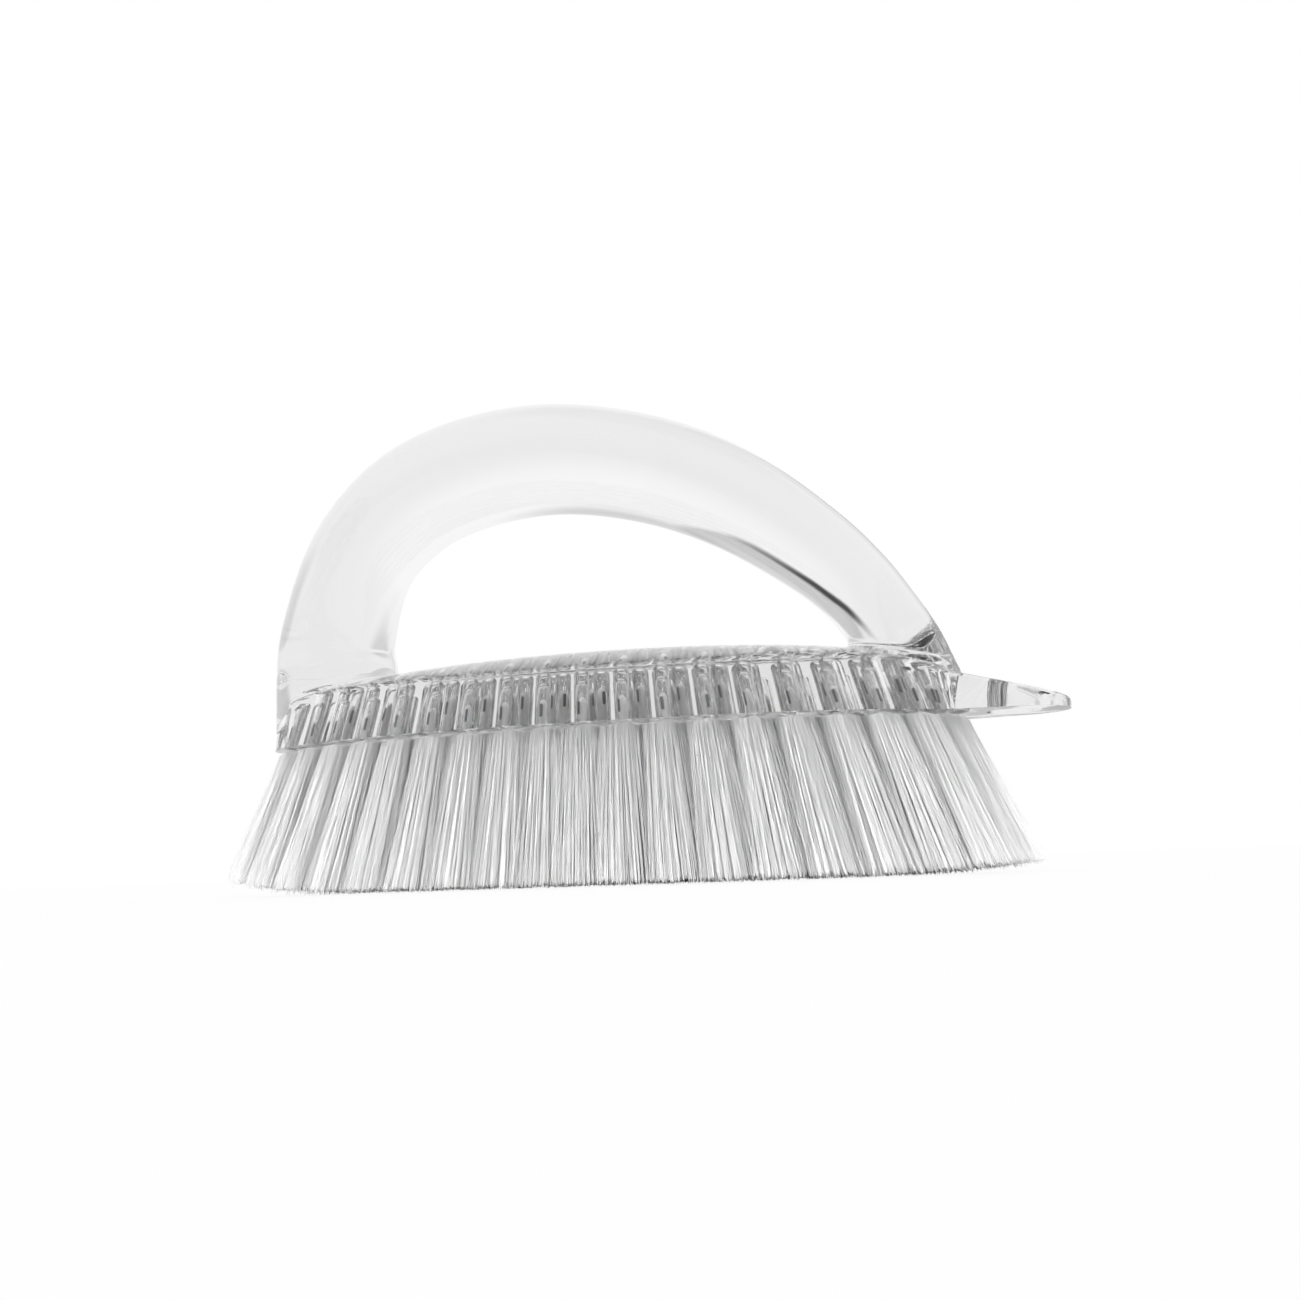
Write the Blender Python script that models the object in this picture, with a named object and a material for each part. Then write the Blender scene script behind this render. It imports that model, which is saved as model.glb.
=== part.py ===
"""A clear plastic scrubbing brush with a loop handle and leaning tufts of clear filament.

Metres, +Z up. The brush stands on its bristle tips at z = 0. +X points from the rear of
the block to the hanging tab, and the origin lies under the middle of the whole brush.
"""

import math
from collections import namedtuple

import bmesh
import bpy
import numpy as np
from mathutils import Matrix, Vector

# Block: an oval base with a drafted wall and a domed top
BLOCK_LENGTH = 0.1341
BLOCK_WIDTH = 0.058
OVAL_EXPONENT = 2.1
WALL_HEIGHT = 0.0096
WALL_DRAFT = 0.001
EDGE_ROUND = 0.0008
DOME_RISE = 0.0052
DOME_POWER = 2.4
END_WALL_SHARE = 0.55
END_FALL_POWER = 10
DOME_RING_SHARES = (0.88, 0.68, 0.45, 0.2)
BLOCK_SIDES = 64

# Loop handle: an arch of oval section, thick at the rear and slim at the front
HANDLE_RISE = 0.0502
GRIP_THICKNESS = 0.0214
GRIP_WIDTH = 0.024
FOOT_SEAT_SHARE = 0.35
# Along the block, up the arch, thickness and width at each station from rear foot to front foot
HANDLE_STATION_SHARES = (
    (-0.414, 0.000, 1.00, 1.24),
    (-0.414, 0.206, 1.05, 1.13),
    (-0.413, 0.373, 1.00, 1.02),
    (-0.376, 0.666, 0.94, 1.00),
    (-0.305, 0.863, 0.98, 1.00),
    (-0.218, 0.963, 1.00, 1.00),
    (-0.111, 1.000, 0.99, 1.00),
    (-0.010, 0.975, 0.96, 0.98),
    (0.103, 0.887, 0.92, 0.96),
    (0.205, 0.746, 0.85, 0.94),
    (0.295, 0.563, 0.76, 0.92),
    (0.348, 0.423, 0.70, 0.90),
    (0.380, 0.306, 0.68, 0.92),
    (0.407, 0.170, 0.72, 1.00),
    (0.430, 0.000, 0.76, 1.10),
)
RINGS_PER_STATION = 2
HANDLE_SIDES = 20

# Hanging tab: a tapered tongue at the front end, with a round hole
TAB_LENGTH = 0.0159
TAB_ROOT_WIDTH = 0.025
TAB_TIP_WIDTH = 0.0192
TAB_ROOT_THICKNESS = 0.0057
TAB_TIP_THICKNESS = 0.0016
TAB_TIP_ROUND = 0.0088
TAB_TIP_STEPS = 12
TAB_SINK = 0.009
HANG_HOLE_DIAMETER = 0.0095
HANG_HOLE_EDGE = 0.0048
HANG_HOLE_SIDES = 24

# Tuft holes: drafted blind holes, in two ovals and three straight rows
HOLE_DIAMETER = 0.0032
OUTER_HOLE_DEPTH = 0.0072
INNER_HOLE_DEPTH = 0.009
HOLE_TOP_SHARE = 0.92
HOLE_SIDES = 6
TUFT_PITCH = 0.00715
EDGE_INSET = 0.00487
ROWS_TO_CENTRE = 3
SIDE_ROW_SHARE = 0.5
OVAL_SAMPLES = 2000

# Backing strips: slices of the underside that lie flush in shallow channels
OUTER_STRIP_COUNT = 10
INNER_STRIP_COUNT = 9
CENTRE_STRIP_COUNT = 4
SIDE_STRIP_COUNT = 2
STRIP_THICKNESS = 0.0008
STRIP_MARGIN = 0.0006
STRIP_GAP = 0.0005
CLEARANCE = 0.0003

# Filament: each tuft is a folded root in its hole, a steel anchor and a fan of four strands
BRISTLE_DROP = 0.0273
TIP_HALF_LENGTH = 0.0779
TIP_HALF_WIDTH = 0.032
REAR_TIP_RISE = 0.0035
FRONT_TIP_RISE = 0.0014
TIP_RISE_POWER = 4
TRIM_DEPTH = 0.0005
ROOT_RADIUS = 0.00095
FOLD_RADIUS = 0.0008
STRANDS_IN_TUFT = 4
STRAND_SIDES = 3
STRAND_ROOT_RADIUS = 0.0005
STRAND_TIP_RADIUS = 0.0009
STRAND_ROOT_SPREAD = 0.00085
STRAND_TIP_SPREAD = 0.0023
STRAND_SINK_SHARE = 0.3
ROOT_SINK_SHARE = 0.6
ANCHOR_LENGTH = 0.0021
ANCHOR_THICKNESS = 0.0004
ANCHOR_HEIGHT = 0.0018
ANCHOR_TOP_GAP = 0.0019

# How far a cutter reaches past the face it cuts
OVERRUN = 0.002
WELD_DISTANCE = 0.000001
SHARP_ANGLE = math.radians(35)
FLAT_ANGLE = math.radians(0.1)

# Places that follow from the sizes
UNDERSIDE = BRISTLE_DROP
HALF_LENGTH = BLOCK_LENGTH / 2
HALF_WIDTH = BLOCK_WIDTH / 2
BLOCK_X = (TIP_HALF_LENGTH - HALF_LENGTH - TAB_LENGTH) / 2
FRONT_END = BLOCK_X + HALF_LENGTH
TAB_TIP = FRONT_END + TAB_LENGTH
OUTER_HALF_LENGTH = HALF_LENGTH - EDGE_INSET
OUTER_HALF_WIDTH = HALF_WIDTH - EDGE_INSET
ROW_SPACING = OUTER_HALF_WIDTH / ROWS_TO_CENTRE
INNER_HALF_LENGTH = OUTER_HALF_LENGTH - ROW_SPACING
INNER_HALF_WIDTH = OUTER_HALF_WIDTH - ROW_SPACING
STRIP_WIDTH = HOLE_DIAMETER + 2 * STRIP_MARGIN
CHANNEL_DEPTH = STRIP_THICKNESS + CLEARANCE
TUFT_SPREAD = STRAND_TIP_SPREAD * math.cos(math.pi / STRANDS_IN_TUFT)
END_SPLAY = TIP_HALF_LENGTH - TUFT_SPREAD - OUTER_HALF_LENGTH
SIDE_SPLAY = TIP_HALF_WIDTH - TUFT_SPREAD - OUTER_HALF_WIDTH

# A row of tufts: the mouths of its holes, whether it closes on itself, its strips and hole depth
Row = namedtuple("Row", "name mouths closed strips hole_depth")


def clear_scene():
    for obj in list(bpy.data.objects):
        bpy.data.objects.remove(obj)


def new_collection(name):
    collection = bpy.data.collections.new(name)
    bpy.context.scene.collection.children.link(collection)
    return collection


def plastic(name, colour, roughness, transmission, metallic):
    material = bpy.data.materials.new(name)
    material.use_nodes = True
    shader = material.node_tree.nodes["Principled BSDF"]
    shader.inputs["Base Color"].default_value = (*colour, 1.0)
    shader.inputs["Roughness"].default_value = roughness
    shader.inputs["Transmission Weight"].default_value = transmission
    shader.inputs["Metallic"].default_value = metallic
    material.diffuse_color = (*colour, 1.0)
    return material


def object_of(name, bm, collection, materials):
    """An object from a finished bmesh, its faces pointing out and its round faces smooth."""
    bmesh.ops.recalc_face_normals(bm, faces=bm.faces)
    mesh = bpy.data.meshes.new(name)
    bm.to_mesh(mesh)
    bm.free()
    for material in materials:
        mesh.materials.append(material)
    mesh.shade_smooth()
    mesh.set_sharp_from_angle(angle=SHARP_ANGLE)
    obj = bpy.data.objects.new(name, mesh)
    collection.objects.link(obj)
    return obj


def as_cutter(obj):
    obj.hide_render = True
    obj.display_type = "WIRE"
    return obj


def combine(obj, other, operation):
    boolean = obj.modifiers.new(other.name, "BOOLEAN")
    boolean.operation = operation
    boolean.solver = "EXACT"
    boolean.object = other


def add_loft(bm, rings):
    """A closed skin through rings of the same number of points, with a cap at each end."""
    rows = [[bm.verts.new(point) for point in ring] for ring in rings]
    for low, high in zip(rows, rows[1:]):
        for i in range(len(low)):
            after = (i + 1) % len(low)
            bm.faces.new((low[i], low[after], high[after], high[i]))
    bm.faces.new(reversed(rows[0]))
    bm.faces.new(rows[-1])


def plate(name, outlines, bottom, top, collection, materials):
    """A flat plate between two heights, from closed outlines; an outline inside another is a hole."""
    curve = bpy.data.curves.new(name, "CURVE")
    curve.dimensions = "2D"
    curve.fill_mode = "BOTH"
    curve.extrude = (top - bottom) / 2
    for outline in outlines:
        spline = curve.splines.new("POLY")
        spline.points.add(len(outline) - 1)
        for point, (x, y) in zip(spline.points, outline):
            point.co = (x, y, 0.0, 1.0)
        spline.use_cyclic_u = True
    guide = bpy.data.objects.new(name, curve)
    guide.location.z = (bottom + top) / 2
    collection.objects.link(guide)
    bpy.context.view_layer.update()
    evaluated = guide.evaluated_get(bpy.context.evaluated_depsgraph_get())
    mesh = bpy.data.meshes.new_from_object(evaluated)
    bm = bmesh.new()
    bm.from_mesh(mesh)
    bmesh.ops.remove_doubles(bm, verts=bm.verts, dist=WELD_DISTANCE)
    bmesh.ops.dissolve_limit(bm, angle_limit=FLAT_ANGLE, verts=bm.verts, edges=bm.edges)
    bmesh.ops.transform(bm, matrix=guide.matrix_world, verts=bm.verts)
    bpy.data.objects.remove(guide)
    bpy.data.meshes.remove(mesh)
    return object_of(name, bm, collection, materials)


def lean(low, high):
    """The matrix that stretches a unit-high upright shape from one point to another, its ends level."""
    axis = high - low
    middle = (low + high) / 2
    return Matrix(
        (
            (1.0, 0.0, axis.x, middle.x),
            (0.0, 1.0, axis.y, middle.y),
            (0.0, 0.0, axis.z, middle.z),
            (0.0, 0.0, 0.0, 1.0),
        )
    )


def add_leaning_cone(bm, sides, low, low_radius, high, high_radius, turn=0.0):
    bmesh.ops.create_cone(
        bm,
        cap_ends=True,
        segments=sides,
        radius1=low_radius,
        radius2=high_radius,
        depth=1.0,
        matrix=lean(low, high) @ Matrix.Rotation(turn, 4, "Z"),
    )


def oval(half_length, half_width, angle):
    power = 2.0 / OVAL_EXPONENT
    along = math.cos(angle)
    across = math.sin(angle)
    return (
        half_length * math.copysign(abs(along) ** power, along),
        half_width * math.copysign(abs(across) ** power, across),
    )


def shoulder_height(x):
    """Height of the wall's top edge, which falls away at the block's two ends."""
    share = min(abs(x) / HALF_LENGTH, 1.0)
    return UNDERSIDE + WALL_HEIGHT * (1.0 - (1.0 - END_WALL_SHARE) * share**END_FALL_POWER)


def block_rings():
    """Rings from the underside up the drafted wall, over the rounded edge and across the dome."""
    top_length = HALF_LENGTH - WALL_DRAFT
    top_width = HALF_WIDTH - WALL_DRAFT
    dome_length = top_length - EDGE_ROUND
    dome_width = top_width - EDGE_ROUND
    underside = []
    wall_top = []
    dome = [[] for _ in range(len(DOME_RING_SHARES) + 1)]
    for i in range(BLOCK_SIDES):
        angle = 2 * math.pi * (i + 0.5) / BLOCK_SIDES
        x, y = oval(HALF_LENGTH, HALF_WIDTH, angle)
        underside.append((BLOCK_X + x, y, UNDERSIDE))
        x, y = oval(top_length, top_width, angle)
        wall_top.append((BLOCK_X + x, y, shoulder_height(x) - EDGE_ROUND))
        for ring, share in zip(dome, (1.0, *DOME_RING_SHARES)):
            x, y = oval(dome_length * share, dome_width * share, angle)
            rise = DOME_RISE * (1.0 - share**DOME_POWER)
            ring.append((BLOCK_X + x, y, shoulder_height(x) + rise))
    return [underside, wall_top, *dome]


def smooth_stations(stations):
    """Stations along a smooth curve through the given ones, by Catmull and Rom's cubic."""
    given = np.array(stations)
    first = 2 * given[0] - given[1]
    last = 2 * given[-1] - given[-2]
    given = np.vstack((first, given, last))
    rows = []
    for i in range(1, len(given) - 2):
        before, start, end, after = given[i - 1 : i + 3]
        for step in range(RINGS_PER_STATION):
            t = step / RINGS_PER_STATION
            slope = (end - before) * t
            bend = (2 * before - 5 * start + 4 * end - after) * t**2
            twist = (3 * start - before - 3 * end + after) * t**3
            rows.append(start + (slope + bend + twist) / 2)
    rows.append(given[-2])
    return np.array(rows)


def handle_rings():
    """Oval sections square to the arch's centre line, from inside the rear foot to the front one."""
    foot = UNDERSIDE + FOOT_SEAT_SHARE * WALL_HEIGHT
    shares = np.array(HANDLE_STATION_SHARES)
    scales = np.array((BLOCK_LENGTH, HANDLE_RISE, GRIP_THICKNESS, GRIP_WIDTH))
    stations = smooth_stations(shares * scales + np.array((BLOCK_X, foot, 0.0, 0.0)))
    slopes = np.gradient(stations[:, :2], axis=0)
    slopes /= np.linalg.norm(slopes, axis=1)[:, None]
    rings = []
    for (x, z, thickness, width), (run, climb) in zip(stations, slopes):
        ring = []
        for i in range(HANDLE_SIDES):
            angle = 2 * math.pi * i / HANDLE_SIDES
            outward = thickness / 2 * math.cos(angle)
            across = width / 2 * math.sin(angle)
            ring.append((x - climb * outward, across, z + run * outward))
        rings.append(ring)
    return rings


def tab_solid(collection, materials):
    """The tongue: flat below, its top falling in one plane to the thin rounded tip."""
    tip_start = TAB_TIP - TAB_TIP_ROUND
    outline = [(FRONT_END - TAB_SINK, -TAB_ROOT_WIDTH / 2)]
    for i in range(TAB_TIP_STEPS + 1):
        angle = math.pi * (i / TAB_TIP_STEPS - 0.5)
        x = tip_start + TAB_TIP_ROUND * math.cos(angle)
        outline.append((x, TAB_TIP_WIDTH / 2 * math.sin(angle)))
    outline.append((FRONT_END - TAB_SINK, TAB_ROOT_WIDTH / 2))
    top = UNDERSIDE + TAB_ROOT_THICKNESS
    tab = plate("hanging_tab", [outline], UNDERSIDE, top, collection, materials)
    fall = (TAB_ROOT_THICKNESS - TAB_TIP_THICKNESS) / TAB_LENGTH
    for vertex in tab.data.vertices:
        if vertex.co.z > UNDERSIDE + TAB_TIP_THICKNESS:
            vertex.co.z = top - fall * (vertex.co.x - FRONT_END)
    return tab


def evenly_round(half_length, half_width):
    """Points a pitch apart round an oval, none of them on its two ends."""
    angles = np.linspace(math.pi, 3 * math.pi, OVAL_SAMPLES + 1)
    fine = np.array([oval(half_length, half_width, angle) for angle in angles])
    travel = np.cumsum(np.linalg.norm(np.diff(fine, axis=0), axis=1))
    travel = np.concatenate(([0.0], travel))
    count = round(travel[-1] / TUFT_PITCH)
    places = (np.arange(count) + 0.5) * travel[-1] / count
    x = BLOCK_X + np.interp(places, travel, fine[:, 0])
    y = np.interp(places, travel, fine[:, 1])
    return [Vector(place) for place in zip(x, y)]


def straight_row(half_length, y):
    count = 1 + math.floor(2 * half_length / TUFT_PITCH)
    start = BLOCK_X - TUFT_PITCH * (count - 1) / 2
    return [Vector((start + TUFT_PITCH * i, y)) for i in range(count)]


def tuft_rows():
    """Two oval rows under the edge, and three straight ones inside them."""
    outer = evenly_round(OUTER_HALF_LENGTH, OUTER_HALF_WIDTH)
    inner = evenly_round(INNER_HALF_LENGTH, INNER_HALF_WIDTH)
    left = straight_row(SIDE_ROW_SHARE * INNER_HALF_LENGTH, ROW_SPACING)
    centre = straight_row(INNER_HALF_LENGTH - ROW_SPACING, 0.0)
    right = straight_row(SIDE_ROW_SHARE * INNER_HALF_LENGTH, -ROW_SPACING)
    return (
        Row("outer_tufts", outer, True, OUTER_STRIP_COUNT, OUTER_HOLE_DEPTH),
        Row("inner_tufts", inner, True, INNER_STRIP_COUNT, INNER_HOLE_DEPTH),
        Row("left_tufts", left, False, SIDE_STRIP_COUNT, INNER_HOLE_DEPTH),
        Row("centre_tufts", centre, False, CENTRE_STRIP_COUNT, INNER_HOLE_DEPTH),
        Row("right_tufts", right, False, SIDE_STRIP_COUNT, INNER_HOLE_DEPTH),
    )


def strip_spans(points, count):
    """The first and last place of each strip in a row of tufts, the longer strips first."""
    fewest, longer = divmod(len(points), count)
    edges = [fewest * i + min(i, longer) for i in range(count + 1)]
    return list(zip(edges, edges[1:]))


def ring_strips(points, count):
    """Splits a closed row of tufts into strips: for each, its tufts and the line it follows."""
    strips = []
    for start, end in strip_spans(points, count):
        tufts = points[start:end]
        line = list(tufts)
        for place, tuft, neighbour in (
            (0, tufts[0], points[start - 1]),
            (len(line) + 1, tufts[-1], points[end % len(points)]),
        ):
            middle = (tuft + neighbour) / 2
            cut = middle + (tuft - middle).normalized() * STRIP_GAP / 2
            line.insert(place, cut)
        strips.append((tufts, line))
    return strips


def row_strips(points, count):
    """Splits a straight row of tufts into strips, each with its tufts and its two ends."""
    half_gap = (TUFT_PITCH - STRIP_GAP) / 2
    strips = []
    for start, end in strip_spans(points, count):
        before = STRIP_WIDTH / 2 if start == 0 else half_gap
        after = STRIP_WIDTH / 2 if end == len(points) else half_gap
        tufts = points[start:end]
        line = [tufts[0] - Vector((before, 0.0)), tufts[-1] + Vector((after, 0.0))]
        strips.append((tufts, line))
    return strips


def offset_line(points, distance, closed):
    """The line moved sideways, mitred at its corners."""
    moved = []
    for i, point in enumerate(points):
        if closed:
            before = points[i - 1]
            after = points[(i + 1) % len(points)]
        else:
            before = points[max(i - 1, 0)]
            after = points[min(i + 1, len(points) - 1)]
        sides = []
        for step in (point - before, after - point):
            if step.length > WELD_DISTANCE:
                step = step.normalized()
                sides.append(Vector((step.y, -step.x)))
        mitre = sum(sides, Vector((0.0, 0.0))).normalized()
        moved.append(point + mitre * distance / mitre.dot(sides[0]))
    return moved


def band_outline(line, width):
    return offset_line(line, width / 2, False) + offset_line(line, -width / 2, False)[::-1]


def tuft_axis(mouth):
    """Where a tuft leaves the underside, where its tips end, and the same line at any height."""
    reach_x = END_SPLAY * (mouth.x - BLOCK_X) / OUTER_HALF_LENGTH
    reach_y = SIDE_SPLAY * mouth.y / OUTER_HALF_WIDTH

    def at(height):
        share = (UNDERSIDE - height) / BRISTLE_DROP
        return Vector((mouth.x + reach_x * share, mouth.y + reach_y * share, height))

    return at


def tip_height(x):
    """The trim line: cut flat on the floor, lifting a little at both ends."""
    share = (x - BLOCK_X) / TIP_HALF_LENGTH
    rise = REAR_TIP_RISE if share < 0 else FRONT_TIP_RISE
    return max(0.0, (rise + TRIM_DEPTH) * share**TIP_RISE_POWER - TRIM_DEPTH)


def add_tuft(bm, mouth, hole_depth):
    """One tuft's folded root and its strands, as closed shapes that meet the strip."""
    at = tuft_axis(mouth)
    hole_top = UNDERSIDE + hole_depth
    root_low = at(UNDERSIDE + ROOT_SINK_SHARE * STRIP_THICKNESS)
    root_high = at(hole_top - CLEARANCE)
    add_leaning_cone(bm, HOLE_SIDES, root_low, ROOT_RADIUS, root_high, FOLD_RADIUS)
    strand_top = UNDERSIDE + STRAND_SINK_SHARE * STRIP_THICKNESS
    for i in range(STRANDS_IN_TUFT):
        angle = 2 * math.pi * (i + 0.5) / STRANDS_IN_TUFT
        side = Vector((math.cos(angle), math.sin(angle), 0.0))
        foot = at(tip_height(at(0.0).x)) + side * STRAND_TIP_SPREAD
        top = at(strand_top) + side * STRAND_ROOT_SPREAD
        add_leaning_cone(
            bm, STRAND_SIDES, foot, STRAND_TIP_RADIUS, top, STRAND_ROOT_RADIUS, angle
        )


def anchor_matrix(mouth, hole_depth):
    at = tuft_axis(mouth)
    top = UNDERSIDE + hole_depth - CLEARANCE - ANCHOR_TOP_GAP
    stretch = Matrix.Diagonal((ANCHOR_LENGTH, ANCHOR_THICKNESS, 1.0, 1.0))
    return lean(at(top - ANCHOR_HEIGHT), at(top)) @ stretch


def tuft_strip(name, tufts, line, hole_depth, collection, cutters, materials):
    """A slice of the underside with its tufts fused to it: roots and anchors above, strands below."""
    top = UNDERSIDE + STRIP_THICKNESS
    strip = plate(name, [band_outline(line, STRIP_WIDTH)], UNDERSIDE, top, collection, materials)
    bristles = bmesh.new()
    anchors = bmesh.new()
    for mouth in tufts:
        add_tuft(bristles, mouth, hole_depth)
        bmesh.ops.create_cube(anchors, size=1.0, matrix=anchor_matrix(mouth, hole_depth))
    for face in anchors.faces:
        face.material_index = 1
    for label, shapes in (("bristles", bristles), ("anchors", anchors)):
        tool = object_of(f"{name}_{label}", shapes, cutters, materials)
        combine(strip, as_cutter(tool), "UNION")
    return strip


def main():
    clear_scene()
    parts = new_collection("cleaning_brush")
    cutters = new_collection("cutters")
    clear = plastic("clear_plastic", (0.94, 0.95, 0.95), 0.04, 1.0, 0.0)
    nylon = plastic("nylon_filament", (0.84, 0.85, 0.85), 0.35, 0.3, 0.0)
    steel = plastic("anchor_steel", (0.45, 0.45, 0.46), 0.3, 0.0, 1.0)

    # The moulding: block, loop handle and tab in one piece
    block = bmesh.new()
    add_loft(block, block_rings())
    body = object_of("brush_body", block, parts, [clear])
    arch = bmesh.new()
    add_loft(arch, handle_rings())
    combine(body, as_cutter(object_of("loop_handle", arch, cutters, [clear])), "UNION")
    combine(body, as_cutter(tab_solid(cutters, [clear])), "UNION")

    # The hole that the brush hangs by
    hole = bmesh.new()
    hole_x = TAB_TIP - HANG_HOLE_EDGE - HANG_HOLE_DIAMETER / 2
    hole_low = Vector((hole_x, 0.0, UNDERSIDE - OVERRUN))
    hole_high = Vector((hole_x, 0.0, UNDERSIDE + TAB_ROOT_THICKNESS + OVERRUN))
    radius = HANG_HOLE_DIAMETER / 2
    add_leaning_cone(hole, HANG_HOLE_SIDES, hole_low, radius, hole_high, radius)
    combine(body, as_cutter(object_of("hanging_hole", hole, cutters, [clear])), "DIFFERENCE")

    # The tufts, by rows
    holes = bmesh.new()
    channel_width = STRIP_WIDTH + 2 * CLEARANCE
    for row in tuft_rows():
        mouths = row.mouths
        if row.closed:
            outlines = [
                offset_line(mouths, channel_width / 2, True),
                offset_line(mouths, -channel_width / 2, True),
            ]
        else:
            reach = (mouths[-1] - mouths[0]).normalized() * channel_width / 2
            outlines = [band_outline([mouths[0] - reach, mouths[-1] + reach], channel_width)]
        channel = plate(
            f"{row.name}_channel",
            outlines,
            UNDERSIDE - OVERRUN,
            UNDERSIDE + CHANNEL_DEPTH,
            cutters,
            [clear],
        )
        combine(body, as_cutter(channel), "DIFFERENCE")
        for mouth in mouths:
            at = tuft_axis(mouth)
            low = at(UNDERSIDE + CHANNEL_DEPTH / 2)
            high = at(UNDERSIDE + row.hole_depth)
            radius = HOLE_DIAMETER / 2
            add_leaning_cone(holes, HOLE_SIDES, low, radius, high, radius * HOLE_TOP_SHARE)
        split = ring_strips if row.closed else row_strips
        for number, (tufts, line) in enumerate(split(mouths, row.strips), 1):
            name = f"{row.name}_{number:02d}"
            tuft_strip(name, tufts, line, row.hole_depth, parts, cutters, [nylon, steel])
    combine(body, as_cutter(object_of("tuft_holes", holes, cutters, [clear])), "DIFFERENCE")


main()
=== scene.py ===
"""Looks of a clear plastic scrubbing brush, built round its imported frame.

The file is laid out as a Blender add-on and is run as a script. Metres, +Z up. The brush
stands on its bristle tips at z = 0, and +X points to the hanging tab.
"""

import math
import random
from collections import namedtuple
from contextlib import contextmanager

import bmesh
import bpy
import numpy as np
from bpy.props import FloatProperty, FloatVectorProperty, IntProperty, PointerProperty
from mathutils import Matrix, Quaternion, Vector


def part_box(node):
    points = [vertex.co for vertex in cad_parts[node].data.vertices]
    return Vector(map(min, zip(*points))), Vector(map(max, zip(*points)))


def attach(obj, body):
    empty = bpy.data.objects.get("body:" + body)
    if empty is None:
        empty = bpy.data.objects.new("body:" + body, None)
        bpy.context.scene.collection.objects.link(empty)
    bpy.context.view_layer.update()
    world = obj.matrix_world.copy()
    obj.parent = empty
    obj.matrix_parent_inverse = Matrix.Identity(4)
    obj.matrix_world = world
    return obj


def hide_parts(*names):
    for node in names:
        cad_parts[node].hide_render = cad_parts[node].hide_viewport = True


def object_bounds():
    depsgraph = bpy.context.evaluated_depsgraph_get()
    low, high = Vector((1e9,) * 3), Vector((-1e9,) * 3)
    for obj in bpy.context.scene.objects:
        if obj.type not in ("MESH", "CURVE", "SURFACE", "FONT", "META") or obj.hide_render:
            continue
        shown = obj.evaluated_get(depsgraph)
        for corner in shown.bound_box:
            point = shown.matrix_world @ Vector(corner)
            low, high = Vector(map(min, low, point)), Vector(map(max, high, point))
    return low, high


bl_info = {
    "name": "Clear scrubbing brush",
    "version": (1, 0, 0),
    "blender": (4, 5, 0),
    "location": "3D View > Sidebar > Brush",
    "description": "Models a clear plastic scrubbing brush with leaning filament tufts",
    "category": "Add Mesh",
}

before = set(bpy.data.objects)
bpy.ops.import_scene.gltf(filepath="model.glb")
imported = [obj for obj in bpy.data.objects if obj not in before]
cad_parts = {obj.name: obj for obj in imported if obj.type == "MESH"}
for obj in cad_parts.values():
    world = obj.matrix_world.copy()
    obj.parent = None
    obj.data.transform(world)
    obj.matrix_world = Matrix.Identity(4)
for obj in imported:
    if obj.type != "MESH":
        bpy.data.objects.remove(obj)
CAD_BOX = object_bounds()
BODY_LOW, BODY_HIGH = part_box("brush_body")
BODY = "root"

UP = Vector((0.0, 0.0, 1.0))
REARWARD = Vector((-1.0, 0.0, 0.0))
# A face looks in a direction when more than this share of its normal lies along it
FACING = 0.9

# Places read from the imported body
UNDERSIDE = BODY_LOW.z
REAR_END = BODY_LOW.x
TAB_TIP = BODY_HIGH.x
HALF_WIDTH = BODY_HIGH.y

# Plan outline of the block, and how its wall falls away at both ends
OVAL_EXPONENT = 2.1
END_WALL_SHARE = 0.55
END_FALL_POWER = 10
DOME_POWER = 2.4
SHOULDER_STEPS = 4
DOME_RINGS = 14
BLOCK_SIDES = 144
MOULDING_SMOOTH_ANGLE = math.radians(35)

# The arch from its rear foot to its front foot: at each station its place along the block and up
# the arch, its thickness and its width, as shares of the block's length and the handle's sizes
HANDLE_STATION_SHARES = (
    (-0.414, 0.000, 1.00, 1.24),
    (-0.414, 0.206, 1.05, 1.13),
    (-0.413, 0.373, 1.00, 1.02),
    (-0.376, 0.666, 0.94, 1.00),
    (-0.305, 0.863, 0.98, 1.00),
    (-0.218, 0.963, 1.00, 1.00),
    (-0.111, 1.000, 0.99, 1.00),
    (-0.010, 0.975, 0.96, 0.98),
    (0.103, 0.887, 0.92, 0.96),
    (0.205, 0.746, 0.85, 0.94),
    (0.295, 0.563, 0.76, 0.92),
    (0.348, 0.423, 0.70, 0.90),
    (0.380, 0.306, 0.68, 0.92),
    (0.407, 0.170, 0.72, 1.00),
    (0.430, 0.000, 0.76, 1.10),
)
HANDLE_SIDES = 64
# How high in the block's wall the feet start
FOOT_SEAT_SHARE = 0.35
# Rings from each station to the next: many where the feet flare out to the block
GRIP_RINGS = 4
FOOT_RINGS = 30
REAR_FOOT_SPANS = 1
FRONT_FOOT_SPANS = 2

# How far the tab's round end reaches back from its tip, and its root into the block
TAB_TIP_ROUND = 0.0088
TAB_SINK = 0.009
TAB_SIDES = 96
TAB_ROUND_STEPS = 3
# How far a cutter reaches past the face it cuts
OVERRUN = 0.003
HANG_HOLE_SIDES = 64
TUFT_HOLE_SIDES = 24
HOLE_ROUND_STEPS = 4

# Rows of tufts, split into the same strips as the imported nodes
ROWS_TO_CENTRE = 3
SIDE_ROW_SHARE = 0.5
OUTER_STRIPS = 10
INNER_STRIPS = 9
CENTRE_STRIPS = 4
SIDE_STRIPS = 2
OVAL_SAMPLES = 2000
# Share of a fan's radius that lies between its middle and the oval of the bristle tips
FAN_REACH_SHARE = math.cos(math.pi / 4)
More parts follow.
